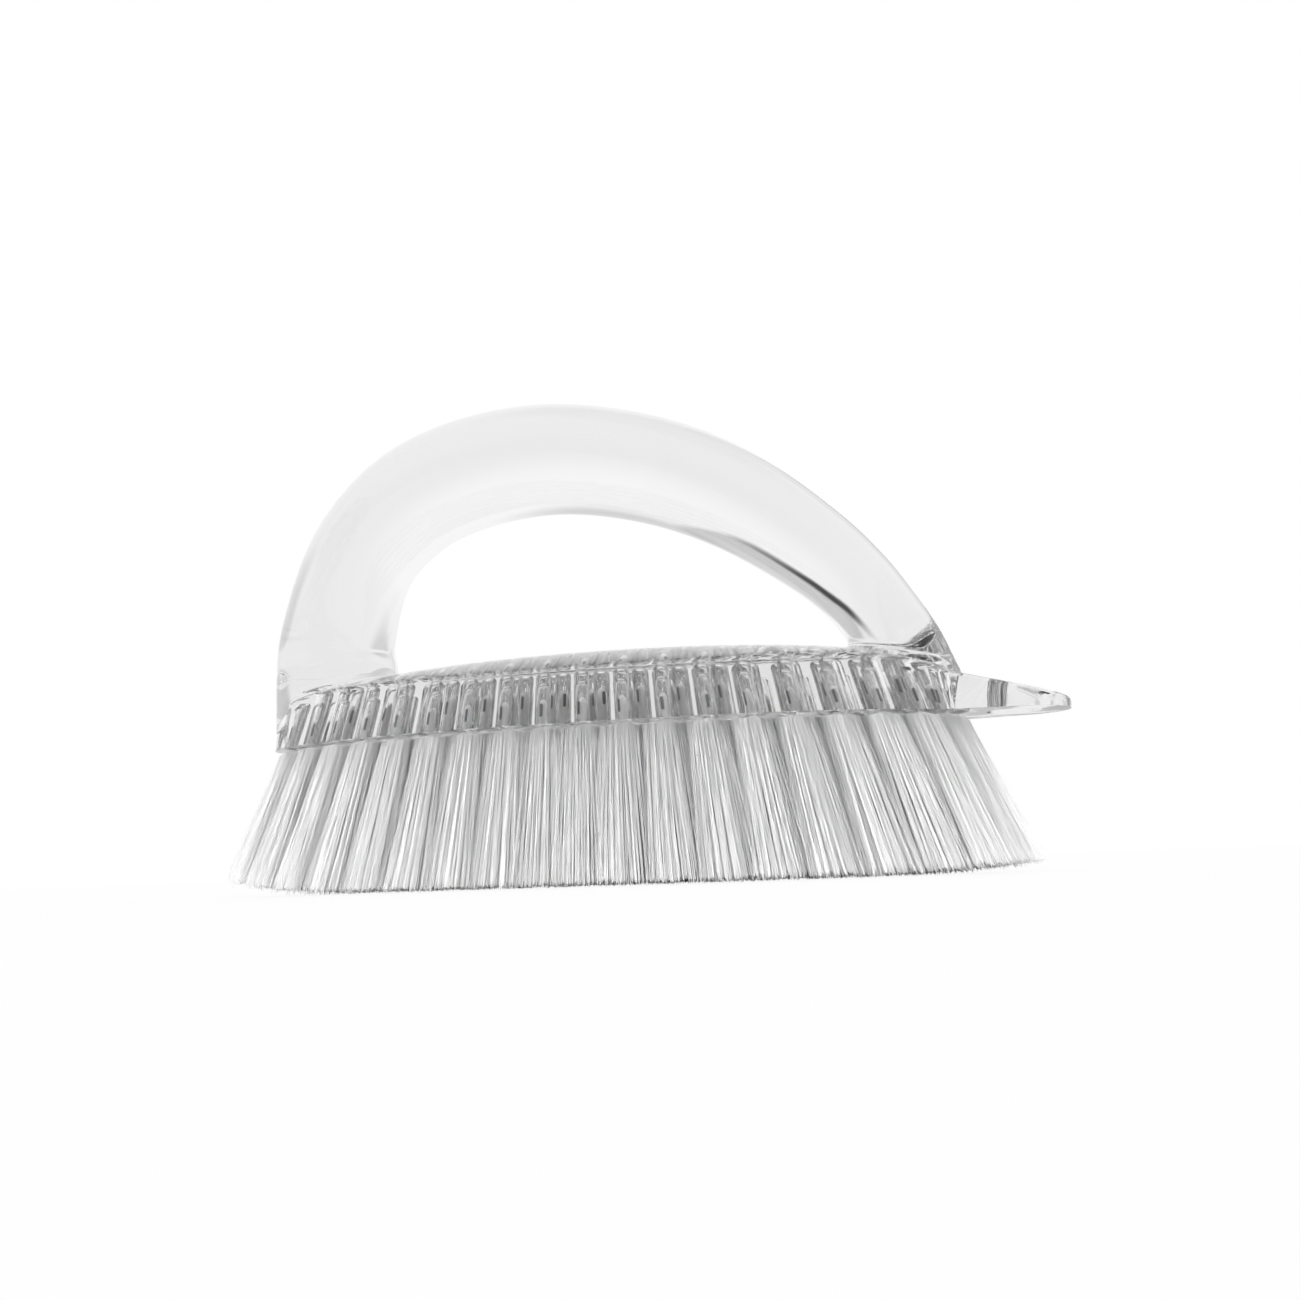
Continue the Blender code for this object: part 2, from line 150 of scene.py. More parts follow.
# The trim line's curve dips this far under the floor, and is cut off level with it
TRIM_DEPTH = 0.0005
TIP_RISE_POWER = 4
# Shares of a filament's length at its hole's mouth and at the tuft's neck
MOUTH_SHARE = 0.2
NECK_SHARE = 0.22
# How far the neck stands below the underside, as a share of the way down to the floor
NECK_DROP_SHARE = 0.03
# How many times as wide a tuft is along its row as across it
ROW_STRETCH = 1.35
# Spreads the filaments over a tuft, with more of them towards its skin than an even 0.5 has
CROWDING_POWER = 0.4
GOLDEN_ANGLE = math.pi * (3.0 - math.sqrt(5.0))
# Turns a three-sided filament until one of its sides faces out of the tuft
FACE_TURN = math.pi / 6
# Thickness of a filament's cut end as a share of its root's
CUT_END_SHARE = 0.84
# How far above the trim line a filament ends on average, in sizes of the ragged ends
MEAN_SHORTNESS = 1.8
FILAMENT_SMOOTH_ANGLE = math.radians(70)
# How much of a filament's tone is chance; the rest is painted shade that rises from dark at its
# root to light at its tip
CHANCE_SHARE = 0.2
# Darkest and lightest tone along the filaments, as shares of their colour: painted shade at the
# roots, painted light at the tips
FILAMENT_SHADE_TONES = (0.8, 1.06)
# Least and most turn of an anchor in its hole, and its bevel as a share of its thickness
ANCHOR_TURNS = (0.9, 2.2)
ANCHOR_EDGE_SHARE = 0.2
SEED = 7
Row = namedtuple("Row", "name mouths strips hole_depth")

# Studio cards that only show in gloss and through the clear plastic: the direction of each, its
# roll in degrees, half its width and half its height at one metre, the share of its size at
# which its soft edge starts, and its tone
CARDS = (
    ((0.0, 0.0, -1.0), 0.0, (1.7, 1.7), 0.87, 0.9),
    ((0.0, -1.0, 0.0), 0.0, (0.9, 0.9), 0.45, 0.75),
    ((0.47, 0.88, 0.08), 0.0, (0.2, 0.3), 0.45, 0.7),
    ((-0.86, 0.5, 0.03), 0.0, (0.25, 0.25), 0.45, 0.75),
    ((0.16, 0.823, 0.545), -5.0, (0.17, 0.5), 0.8, 0.65),
    ((0.055, 0.93, 0.35), -11.0, (0.055, 0.34), 0.3, 0.05),
    ((0.0, 0.3, 1.0), 0.0, (0.5, 0.5), 0.45, 0.6),
)
# Cards that lie on the floor: where, their turn, half their width and length, soft edge and tone
FLOOR_CARDS = (
    ((0.19, 0.41, 0.0), -25.0, (0.14, 0.33), 0.3, 0.72),
    ((-0.38, 0.24, 0.0), 58.0, (0.14, 0.33), 0.3, 0.7),
)
FLOOR_TONE = 0.9
FLOOR_SIZE = 6.0
# How far the floor lies under the bristle tips
FLOOR_DROP = 0.0002
# How much of the lit floor, with its shadow, shows through its white
SHADOW_SHARE = 0.08
KEY_LIGHT_PLACE = (0.5, -0.8, 0.25)
KEY_LIGHT_SIZE = 1.0
KEY_LIGHT_POWER = 0.7

# Camera of the photograph
CAMERA_PLACE = Vector((0.086735, -0.27649, 0.00302))
CAMERA_AIM = Vector((0.005895, 0.0, 0.042608))
CAMERA_ROLL = math.radians(-2.004)
CAMERA_LENS = 43.5
CAMERA_NEAR = 0.01
SENSOR_WIDTH = 36.0


class BRUSH_PG_moulding(bpy.types.PropertyGroup):
    tab_length: FloatProperty(
        name="Tab length",
        description="From the front of the block to the tip of the hanging tab",
        default=0.0159,
        unit="LENGTH",
    )
    wall_height: FloatProperty(
        name="Wall height",
        description="Height of the block's wall at its middle",
        default=0.0096,
        unit="LENGTH",
    )
    wall_draft: FloatProperty(
        name="Wall draft",
        description="How far the wall leans in on its way up",
        default=0.001,
        unit="LENGTH",
    )
    dome_rise: FloatProperty(
        name="Dome rise",
        description="Height of the dome above the shoulder",
        default=0.0052,
        unit="LENGTH",
    )
    grip_thickness: FloatProperty(
        name="Grip thickness",
        description="Thickness of the handle in the plane of its arch",
        default=0.0214,
        unit="LENGTH",
    )
    grip_width: FloatProperty(
        name="Grip width",
        description="Width of the handle across the brush",
        default=0.024,
        unit="LENGTH",
    )
    handle_rise: FloatProperty(
        name="Handle rise",
        description="Height of the arch's centre line above its feet",
        default=0.0502,
        unit="LENGTH",
    )
    tab_root_width: FloatProperty(
        name="Tab root width",
        description="Width of the hanging tab where it leaves the block",
        default=0.025,
        unit="LENGTH",
    )
    tab_tip_width: FloatProperty(
        name="Tab tip width",
        description="Width of the hanging tab where its round end starts",
        default=0.0192,
        unit="LENGTH",
    )
    tab_root_thickness: FloatProperty(
        name="Tab root thickness",
        description="Thickness of the hanging tab where it leaves the block",
        default=0.0057,
        unit="LENGTH",
    )
    tab_tip_thickness: FloatProperty(
        name="Tab tip thickness",
        description="Thickness of the hanging tab at its tip",
        default=0.0018,
        unit="LENGTH",
    )
    hang_hole: FloatProperty(
        name="Hanging hole",
        description="Diameter of the hole that the brush hangs by",
        default=0.0095,
        unit="LENGTH",
    )
    hang_hole_edge: FloatProperty(
        name="Hole to tip",
        description="From the hanging hole's edge to the tab's tip",
        default=0.0048,
        unit="LENGTH",
    )
    shoulder_round: FloatProperty(
        name="Shoulder round",
        description="Size of the rounding where the wall meets the dome",
        default=0.0008,
        unit="LENGTH",
    )
    foot_fillet: FloatProperty(
        name="Foot fillet",
        description="Radius of the fillet between the handle's feet and the block",
        default=0.0015,
        unit="LENGTH",
    )
    tab_round: FloatProperty(
        name="Tab round",
        description="Size of the rounding along the tab's upper edge",
        default=0.0006,
        unit="LENGTH",
    )


class BRUSH_PG_tufts(bpy.types.PropertyGroup):
    pitch: FloatProperty(
        name="Tuft pitch",
        description="Distance from tuft to tuft along a row",
        default=0.00715,
        unit="LENGTH",
    )
    edge_inset: FloatProperty(
        name="Edge inset",
        description="From the block's edge to the outer row",
        default=0.00487,
        unit="LENGTH",
    )
    hole: FloatProperty(
        name="Tuft hole",
        description="Diameter of a tuft hole at its mouth",
        default=0.0028,
        unit="LENGTH",
    )
    outer_depth: FloatProperty(
        name="Outer hole depth",
        description="Depth of the tuft holes in the outer row",
        default=0.0072,
        unit="LENGTH",
    )
    inner_depth: FloatProperty(
        name="Inner hole depth",
        description="Depth of the tuft holes under the dome",
        default=0.009,
        unit="LENGTH",
    )
    hole_round: FloatProperty(
        name="Hole end",
        description="Size of the rounding at a tuft hole's blind end",
        default=0.0009,
        unit="LENGTH",
    )
    trim_half_length: FloatProperty(
        name="Trim half length",
        description="Half the length of the oval that the bristle tips fill",
        default=0.0764,
        unit="LENGTH",
    )
    trim_half_width: FloatProperty(
        name="Trim half width",
        description="Half the width of the oval that the bristle tips fill",
        default=0.0302,
        unit="LENGTH",
    )
    root: FloatProperty(
        name="Tuft root",
        description="Radius of a tuft in its hole",
        default=0.0009,
        unit="LENGTH",
    )
    neck: FloatProperty(
        name="Tuft neck",
        description="Radius of a tuft just under the block",
        default=0.0035,
        unit="LENGTH",
    )
    fan: FloatProperty(
        name="Tuft fan",
        description="Radius of a tuft at its tips",
        default=0.0052,
        unit="LENGTH",
    )
    fold_gap: FloatProperty(
        name="Fold depth",
        description="From a hole's blind end down to the tuft's fold",
        default=0.0028,
        unit="LENGTH",
    )
    rear_rise: FloatProperty(
        name="Rear tip rise",
        description="How far the trim line lifts at the rear end",
        default=0.0035,
        unit="LENGTH",
    )
    front_rise: FloatProperty(
        name="Front tip rise",
        description="How far the trim line lifts at the front end",
        default=0.0014,
        unit="LENGTH",
    )
    ragged: FloatProperty(
        name="Ragged ends",
        description="How much the filaments differ in length",
        default=0.0004,
        unit="LENGTH",
    )
    stray: FloatProperty(
        name="Stray",
        description="How far a filament's tip strays from its place in the fan",
        default=0.0009,
        unit="LENGTH",
    )
    filament: FloatProperty(
        name="Filament",
        description="Diameter of a single filament",
        default=0.00012,
        unit="LENGTH",
    )
    filaments: IntProperty(
        name="Filaments in a tuft",
        description="Number of filaments in each tuft",
        default=750,
        min=1,
    )
    anchor_length: FloatProperty(
        name="Anchor length",
        description="Length of the steel anchor across a tuft's fold",
        default=0.0027,
        unit="LENGTH",
    )
    anchor_height: FloatProperty(
        name="Anchor height",
        description="Height of the steel anchor along its hole",
        default=0.0022,
        unit="LENGTH",
    )
    anchor_thickness: FloatProperty(
        name="Anchor thickness",
        description="Thickness of the steel anchor",
        default=0.0005,
        unit="LENGTH",
    )
    anchor_gap: FloatProperty(
        name="Anchor depth",
        description="From a hole's blind end down to its anchor",
        default=0.0036,
        unit="LENGTH",
    )


class BRUSH_PG_finish(bpy.types.PropertyGroup):
    clear_tint: FloatVectorProperty(
        name="Clear plastic",
        description="Tint of the clear moulding",
        default=(0.99, 0.99, 0.99),
        size=3,
        subtype="COLOR",
    )
    clear_depth: FloatProperty(
        name="Greying",
        description="How strongly the clear plastic takes up light, per metre of its depth",
        default=2.8,
        min=0.0,
    )
    filament_colour: FloatVectorProperty(
        name="Filament",
        description="Colour of the filament",
        default=(0.95, 0.95, 0.95),
        size=3,
        subtype="COLOR",
    )
    steel_colour: FloatVectorProperty(
        name="Anchor steel",
        description="Colour of the steel anchors",
        default=(0.12, 0.12, 0.13),
        size=3,
        subtype="COLOR",
    )
    floor_colour: FloatVectorProperty(
        name="Floor",
        description="Colour of the floor",
        default=(0.88, 0.88, 0.88),
        size=3,
        subtype="COLOR",
    )


class BRUSH_PG_settings(bpy.types.PropertyGroup):
    moulding: PointerProperty(
        name="Moulding",
        description="Sizes of the clear moulding",
        type=BRUSH_PG_moulding,
    )
    tufts: PointerProperty(
        name="Tufts",
        description="Sizes of the tufts and their anchors",
        type=BRUSH_PG_tufts,
    )
    finish: PointerProperty(
        name="Finish",
        description="Colours of the brush and the floor",
        type=BRUSH_PG_finish,
    )


def activate(piece):
    bpy.ops.object.select_all(action="DESELECT")
    piece.select_set(True)
    bpy.context.view_layer.objects.active = piece


@contextmanager
def editing(piece):
    """Opens a piece in edit mode with all of it selected, and closes it again."""
    activate(piece)
    bpy.ops.object.mode_set(mode="EDIT")
    bpy.ops.mesh.select_all(action="SELECT")
    yield
    bpy.ops.object.mode_set(mode="OBJECT")


def started(name):
    """The primitive that was just added, under its own name."""
    piece = bpy.context.active_object
    piece.name = name
    piece.data.name = name
    return piece


def select_faces(piece, direction):
    """In edit mode, selects just the faces that look in a direction."""
    bpy.ops.mesh.select_all(action="DESELECT")
    shape = bmesh.from_edit_mesh(piece.data)
    shape.normal_update()
    for face in shape.faces:
        if face.normal.dot(direction) > FACING:
            face.select_set(True)
    bmesh.update_edit_mesh(piece.data)


def extrude(step):
    bpy.ops.mesh.extrude_region_move(TRANSFORM_OT_translate={"value": tuple(step)})


def close_ends():
    """In edit mode, fills the open ends and turns all faces outwards."""
    bpy.ops.mesh.select_all(action="DESELECT")
    bpy.ops.mesh.select_non_manifold()
    bpy.ops.mesh.fill_holes(sides=0)
    bpy.ops.mesh.select_all(action="SELECT")
    bpy.ops.mesh.normals_make_consistent(inside=False)


def apply_modifier(piece, name, kind, **settings):
    activate(piece)
    modifier = piece.modifiers.new(name, kind)
    for setting, value in settings.items():
        setattr(modifier, setting, value)
    bpy.ops.object.modifier_apply(modifier=name)


def boolean(piece, other, operation):
    apply_modifier(
        piece, other.name, "BOOLEAN", operation=operation, solver="EXACT", object=other
    )
    bpy.data.meshes.remove(other.data)


def finish_piece(piece, material, nodes=()):
    """Gives a piece its material in its one slot and its body, and hides the CAD nodes that it
    stands for.
    """
    piece.data.materials.clear()
    piece.data.materials.append(material)
    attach(piece, BODY)
    if nodes:
        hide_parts(*nodes)


def oval(half_length, half_width, angle):
    """A point of an oval that is a little fuller than an ellipse."""
    power = 2.0 / OVAL_EXPONENT
    along = math.cos(angle)
    across = math.sin(angle)
    return (
        half_length * math.copysign(abs(along) ** power, along),
        half_width * math.copysign(abs(across) ** power, across),
    )


def block_half_length(sizes):
    return (TAB_TIP - REAR_END - sizes.tab_length) / 2


def block_middle(sizes):
    return REAR_END + block_half_length(sizes)


def plan_share(x, y, sizes):
    """How far out a point lies in the block's plan: 0 in its middle, 1 at its outline."""
    along = abs(x - block_middle(sizes)) / block_half_length(sizes)
    across = abs(y) / HALF_WIDTH
    return (along**OVAL_EXPONENT + across**OVAL_EXPONENT) ** (1.0 / OVAL_EXPONENT)


def block_top(x, y, sizes):
    """Height of the domed block over a point of its plan."""
    dome = sizes.dome_rise * (1.0 - min(1.0, plan_share(x, y, sizes)) ** DOME_POWER)
    return UNDERSIDE + sizes.wall_height + dome - end_fall(x, sizes)


def end_fall(x, sizes):
    """How far the top of the block falls away towards its two ends."""
    share = abs(x - block_middle(sizes)) / block_half_length(sizes)
    return sizes.wall_height * (1.0 - END_WALL_SHARE) * share**END_FALL_POWER


def block_profile(sizes):
    """Half length, half width and height of each ring: drafted wall, round shoulder and dome."""
    foot = np.array((block_half_length(sizes), HALF_WIDTH, 0.0))
    corner = foot + np.array((-sizes.wall_draft, -sizes.wall_draft, sizes.wall_height))

    def dome(share):
        rise = sizes.wall_height + sizes.dome_rise * (1.0 - share**DOME_POWER)
        return np.array((corner[0] * share, corner[1] * share, rise))

    wall_share = sizes.shoulder_round / sizes.wall_height
    wall_top = corner + (foot - corner) * wall_share
    dome_share = 1.0 - sizes.shoulder_round / HALF_WIDTH
    dome_foot = dome(dome_share)
    rings = [foot]
    for step in range(SHOULDER_STEPS + 1):
        t = step / SHOULDER_STEPS
        rings.append((1 - t) ** 2 * wall_top + 2 * t * (1 - t) * corner + t**2 * dome_foot)
    rings += [dome(dome_share * (1 - ring / DOME_RINGS)) for ring in range(1, DOME_RINGS)]
    return rings


def model_block(sizes):
    """The oval block, raised ring by ring from its outline."""
    middle = block_middle(sizes)
    profile = block_profile(sizes)
    bpy.ops.mesh.primitive_circle_add(vertices=BLOCK_SIDES, radius=1.0)
    block = started("clear_moulding")
    for vertex in block.data.vertices:
        angle = math.atan2(vertex.co.y, vertex.co.x)
        vertex.co.x, vertex.co.y = oval(profile[0][0], profile[0][1], angle)
    with editing(block):
        bpy.ops.transform.translate(value=(middle, 0.0, UNDERSIDE))
        for ring, next_ring in zip(profile, profile[1:]):
            extrude((0.0, 0.0, next_ring[2] - ring[2]))
            bpy.ops.transform.resize(
                value=(next_ring[0] / ring[0], next_ring[1] / ring[1], 1.0),
                center_override=(middle, 0.0, UNDERSIDE + next_ring[2]),
            )
        close_ends()
    for vertex in block.data.vertices:
        if vertex.co.z > UNDERSIDE + sizes.wall_height / 2:
            vertex.co.z -= end_fall(vertex.co.x, sizes)
    return block


def smooth_stations(stations):
    """Stations along a smooth curve through the given ones, with a cubic for each span."""
    given = np.array(stations)
    given = np.vstack((2 * given[0] - given[1], given, 2 * given[-1] - given[-2]))
    rows = []
    last = len(given) - 2
    for i in range(1, last):
        before, start, end, after = given[i - 1 : i + 3]
        at_foot = i <= REAR_FOOT_SPANS or i >= last - FRONT_FOOT_SPANS
        count = FOOT_RINGS if at_foot else GRIP_RINGS
        for step in range(count):
            t = step / count
            slope = (end - before) * t
            bend = (2 * before - 5 * start + 4 * end - after) * t**2
            twist = (3 * start - before - 3 * end + after) * t**3
            rows.append(start + (slope + bend + twist) / 2)
    rows.append(given[-2])
    return np.array(rows)


def model_handle(sizes):
    """The arch: one oval ring, extruded, turned and resized from station to station."""
    foot = UNDERSIDE + FOOT_SEAT_SHARE * sizes.wall_height
    block_length = 2 * block_half_length(sizes)
    scales = (block_length, sizes.handle_rise, sizes.grip_thickness, sizes.grip_width)
    shares = np.array(HANDLE_STATION_SHARES) * np.array(scales)
    stations = smooth_stations(shares + np.array((block_middle(sizes), foot, 0.0, 0.0)))
    slopes = np.gradient(stations[:, :2], axis=0)
    bpy.ops.mesh.primitive_circle_add(vertices=HANDLE_SIDES, radius=0.5)
    handle = started("loop_handle")
    with editing(handle):
        centre, tilt, size = Vector(), 0.0, (1.0, 1.0)
        for number, (station, slope) in enumerate(zip(stations, slopes)):
            x, z, thickness, width = (float(value) for value in station)
            new_centre = Vector((x, 0.0, z))
            step = new_centre - centre
            if number:
                extrude(step)
            else:
                bpy.ops.transform.translate(value=step)
            grow = (thickness / size[0], width / size[1], 1.0)
            new_tilt = math.atan2(slope[0], slope[1])
            turn = {"orient_axis": "Y", "center_override": new_centre}
            bpy.ops.transform.rotate(value=tilt, **turn)
            bpy.ops.transform.resize(value=grow, center_override=new_centre)
            bpy.ops.transform.rotate(value=-new_tilt, **turn)
            centre, tilt, size = new_centre, new_tilt, (thickness, width)
        close_ends()
    flare_feet(handle, sizes)
    return handle


def flare_feet(handle, sizes):
    """Moves the skin near the block outwards, as a fillet that runs out on the dome."""
    fillet = sizes.foot_fillet
    normals = [vertex.normal.copy() for vertex in handle.data.vertices]
    for vertex, normal in zip(handle.data.vertices, normals):
        above = max(0.0, vertex.co.z - block_top(vertex.co.x, vertex.co.y, sizes))
        if above < fillet:
            flare = fillet - math.sqrt(fillet**2 - (fillet - above) ** 2)
            room = (1.0 - plan_share(vertex.co.x, vertex.co.y, sizes)) * HALF_WIDTH
            vertex.co.xy += normal.xy.normalized() * max(0.0, min(flare, room - sizes.wall_draft))


def model_tab(sizes):
    """The tongue: a round end drawn back into the block, its top falling to the thin tip."""
    front = TAB_TIP - sizes.tab_length
    round_middle = TAB_TIP - TAB_TIP_ROUND
    depth = sizes.tab_root_thickness
    bpy.ops.mesh.primitive_cylinder_add(vertices=TAB_SIDES, radius=1.0, depth=1.0)
    tab = started("hanging_tab")
    with editing(tab):
        bpy.ops.transform.resize(value=(TAB_TIP_ROUND, sizes.tab_tip_width / 2, depth))
        place = (round_middle, 0.0, UNDERSIDE + depth / 2)
        bpy.ops.transform.translate(value=place)
        bpy.ops.mesh.bisect(plane_co=place, plane_no=REARWARD, use_fill=True, clear_outer=True)
        select_faces(tab, REARWARD)
        root = front - TAB_SINK
        extrude((root - round_middle, 0.0, 0.0))
        widen = sizes.tab_root_width / sizes.tab_tip_width
        bpy.ops.transform.resize(value=(1.0, widen, 1.0), center_override=(root, 0.0, 0.0))
    slope = (sizes.tab_root_thickness - sizes.tab_tip_thickness) / sizes.tab_length
    for vertex in tab.data.vertices:
        if vertex.co.z > UNDERSIDE + depth / 2:
            vertex.co.z -= slope * (vertex.co.x - front)
    with editing(tab):
        select_faces(tab, UP)
        bpy.ops.mesh.region_to_loop()
        bpy.ops.mesh.bevel(offset=sizes.tab_round, segments=TAB_ROUND_STEPS)
    return tab


def model_hang_hole(sizes):
    """The round cutter of the hole in the tab."""
    x = TAB_TIP - sizes.hang_hole_edge - sizes.hang_hole / 2
    bpy.ops.mesh.primitive_cylinder_add(
        vertices=HANG_HOLE_SIDES,
        radius=sizes.hang_hole / 2,
        depth=2 * (sizes.tab_root_thickness + OVERRUN),
        location=(x, 0.0, UNDERSIDE),
    )
    return started("hanging_hole")


def evenly_round(half_length, half_width, middle, pitch):
    """Points a pitch apart round an oval, none of them on its two ends."""
    angles = np.linspace(math.pi, 3 * math.pi, OVAL_SAMPLES + 1)
    fine = np.array([oval(half_length, half_width, angle) for angle in angles])
    travel = np.cumsum(np.linalg.norm(np.diff(fine, axis=0), axis=1))
    travel = np.concatenate(([0.0], travel))
    count = round(travel[-1] / pitch)
    places = (np.arange(count) + 0.5) * travel[-1] / count
    x = middle + np.interp(places, travel, fine[:, 0])
    y = np.interp(places, travel, fine[:, 1])
    return [Vector(place) for place in zip(x, y)]


def straight_row(half_length, y, middle, pitch):
    """Points a pitch apart along the brush, as many as fit, about its middle."""
    count = 1 + math.floor(2 * half_length / pitch)
    start = middle - pitch * (count - 1) / 2
    return [Vector((start + pitch * i, y)) for i in range(count)]


def outer_halves(settings):
    """Half the length and half the width of the outer row of tufts."""
    inset = settings.tufts.edge_inset
    return block_half_length(settings.moulding) - inset, HALF_WIDTH - inset


def tuft_rows(settings):
    """Two oval rows under the edge, and three straight ones inside them."""
    tufts = settings.tufts
    middle = block_middle(settings.moulding)
    length, width = outer_halves(settings)
    spacing = width / ROWS_TO_CENTRE
    inner = length - spacing
    side = SIDE_ROW_SHARE * inner
    outer_ring = evenly_round(length, width, middle, tufts.pitch)
    inner_ring = evenly_round(inner, width - spacing, middle, tufts.pitch)
    left = straight_row(side, spacing, middle, tufts.pitch)
    centre = straight_row(inner - spacing, 0.0, middle, tufts.pitch)
    right = straight_row(side, -spacing, middle, tufts.pitch)
    return (
        Row("outer", outer_ring, OUTER_STRIPS, tufts.outer_depth),
        Row("inner", inner_ring, INNER_STRIPS, tufts.inner_depth),
        Row("left", left, SIDE_STRIPS, tufts.inner_depth),
        Row("centre", centre, CENTRE_STRIPS, tufts.inner_depth),
        Row("right", right, SIDE_STRIPS, tufts.inner_depth),
    )


def strips_of(row):
    """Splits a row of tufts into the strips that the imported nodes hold, longer ones first."""
    fewest, longer = divmod(len(row.mouths), row.strips)
    edges = [fewest * i + min(i, longer) for i in range(row.strips + 1)]
    return [row.mouths[start:end] for start, end in zip(edges, edges[1:])]


def tuft_lean(mouth, settings):
    """How far a tuft's line moves sideways on its way from the underside to the floor."""
    tufts = settings.tufts
    length, width = outer_halves(settings)
    along = (mouth.x - block_middle(settings.moulding)) / length
    across = mouth.y / width
    fan_reach = tufts.fan * FAN_REACH_SHARE
    reach_x = tufts.trim_half_length - fan_reach - length
    reach_y = tufts.trim_half_width - fan_reach - width
    return Vector((reach_x * along, reach_y * across))


def lean_matrix(mouth, settings):
    """Places an upright shape at a tuft's mouth, sheared along the tuft's line."""
    lean = tuft_lean(mouth, settings) / UNDERSIDE
    return Matrix(
        (
            (1.0, 0.0, -lean.x, mouth.x),
            (0.0, 1.0, -lean.y, mouth.y),
            (0.0, 0.0, 1.0, UNDERSIDE),
            (0.0, 0.0, 0.0, 1.0),
        )
    )


def copies(model, matrices, name):
    """One object that holds a copy of a modelled shape at each of the given places."""
    joined = bmesh.new()
    for matrix in matrices:
        before = len(joined.verts)
        joined.from_mesh(model.data)
        joined.verts.ensure_lookup_table()
        bmesh.ops.transform(joined, matrix=matrix, verts=joined.verts[before:])
    mesh = bpy.data.meshes.new(name)
    joined.to_mesh(mesh)
    joined.free()
    piece = bpy.data.objects.new(name, mesh)
    bpy.context.scene.collection.objects.link(piece)
    return piece


def model_tuft_hole(tufts, hole_depth):
    """The cutter of one blind hole, its mouth at the origin and its far end rounded."""
    depth = hole_depth + OVERRUN
    bpy.ops.mesh.primitive_cylinder_add(
        vertices=TUFT_HOLE_SIDES,
        radius=tufts.hole / 2,
        depth=depth,
        location=(0.0, 0.0, depth / 2 - OVERRUN),
    )
    hole = started("tuft_hole")
    with editing(hole):
        select_faces(hole, UP)
        bpy.ops.mesh.bevel(offset=tufts.hole_round, segments=HOLE_ROUND_STEPS)
    bpy.ops.object.transform_apply(location=True)
    return hole


class BRUSH_OT_moulding(bpy.types.Operator):
    """Models the clear moulding: block, loop handle, hanging tab and blind tuft holes"""

    bl_idname = "brush.moulding"
    bl_label = "Clear moulding"

    def execute(self, context):
        settings = context.scene.scrubbing_brush
        sizes = settings.moulding
        block = model_block(sizes)
        boolean(block, model_handle(sizes), "UNION")
        boolean(block, model_tab(sizes), "UNION")
        boolean(block, model_hang_hole(sizes), "DIFFERENCE")
        for row in tuft_rows(settings):
            hole = model_tuft_hole(settings.tufts, row.hole_depth)
            places = [lean_matrix(mouth, settings) for mouth in row.mouths]
            boolean(block, copies(hole, places, f"{row.name}_holes"), "DIFFERENCE")
            bpy.data.meshes.remove(hole.data)
        activate(block)
        bpy.ops.object.shade_smooth_by_angle(angle=MOULDING_SMOOTH_ANGLE)
        finish_piece(block, clear_plastic(settings.finish), ["brush_body"])
        return {"FINISHED"}


def model_filament():
    """One filament of unit length and thickness, from its root at 0 to its cut end at 1."""
    bpy.ops.mesh.primitive_cone_add(
        vertices=3, radius1=0.5, radius2=0.5 * CUT_END_SHARE, depth=1.0, location=(0.0, 0.0, 0.5)
    )
    filament = started("filament")
    bpy.ops.object.transform_apply(location=True)
    for share in (MOUTH_SHARE, NECK_SHARE):
        with editing(filament):
            bpy.ops.mesh.bisect(plane_co=(0.0, 0.0, share), plane_no=UP)
    return filament


def tip_height(x, settings):
    """The trim line: level in the middle, lifting a little at both ends."""
    tufts = settings.tufts
    share = (x - block_middle(settings.moulding)) / tufts.trim_half_length
    rise = tufts.rear_rise if share < 0 else tufts.front_rise
    return max(0.0, (rise + TRIM_DEPTH) * share**TIP_RISE_POWER - TRIM_DEPTH)


def tuft_points(mouth, hole_depth, filament, settings, draw):
    """The points of one tuft: its filaments fan out from the hole to the trim line."""
    tufts = settings.tufts
    lean = tuft_lean(mouth, settings)
    outward = lean.normalized()
    row_way = np.array((-outward.y, outward.x))
    along = filament[:, 2]
    points = []
    for number in range(tufts.filaments):
        share = ((number + 0.5) / tufts.filaments) ** CROWDING_POWER
        turn = number * GOLDEN_ANGLE
        aside = np.array((math.cos(turn), math.sin(turn))) * share
        aside += row_way * (aside @ row_way) * (ROW_STRETCH - 1.0)
        stray = np.array((draw.uniform(-1.0, 1.0), draw.uniform(-1.0, 1.0))) * tufts.stray
        tip_x = mouth.x + lean.x + aside[0] * tufts.fan
        shortness = draw.gauss(MEAN_SHORTNESS, 1.0) * tufts.ragged
        cut = max(0.0, tip_height(tip_x, settings) + shortness)
        root = UNDERSIDE + hole_depth - tufts.fold_gap - tufts.root * share**2
        neck = UNDERSIDE * (1.0 - NECK_DROP_SHARE)
        twist = turn - FACE_TURN
        height = np.interp(along, (0.0, MOUTH_SHARE, NECK_SHARE, 1.0), (root, UNDERSIDE, neck, cut))
        down = (UNDERSIDE - height) / UNDERSIDE
        out = np.clip(down, 0.0, 1.0)
        radius = np.interp(out, (0.0, NECK_DROP_SHARE, 1.0), (tufts.root, tufts.neck, tufts.fan))
        turned = filament[:, :2] @ np.array(
            ((math.cos(twist), math.sin(twist)), (-math.sin(twist), math.cos(twist)))
        )
        place = np.outer(down, lean) + np.outer(radius, aside) + np.outer(out, stray)
        place += np.array(mouth) + turned * tufts.filament
        points.append(np.column_stack((place, height)))
    return points


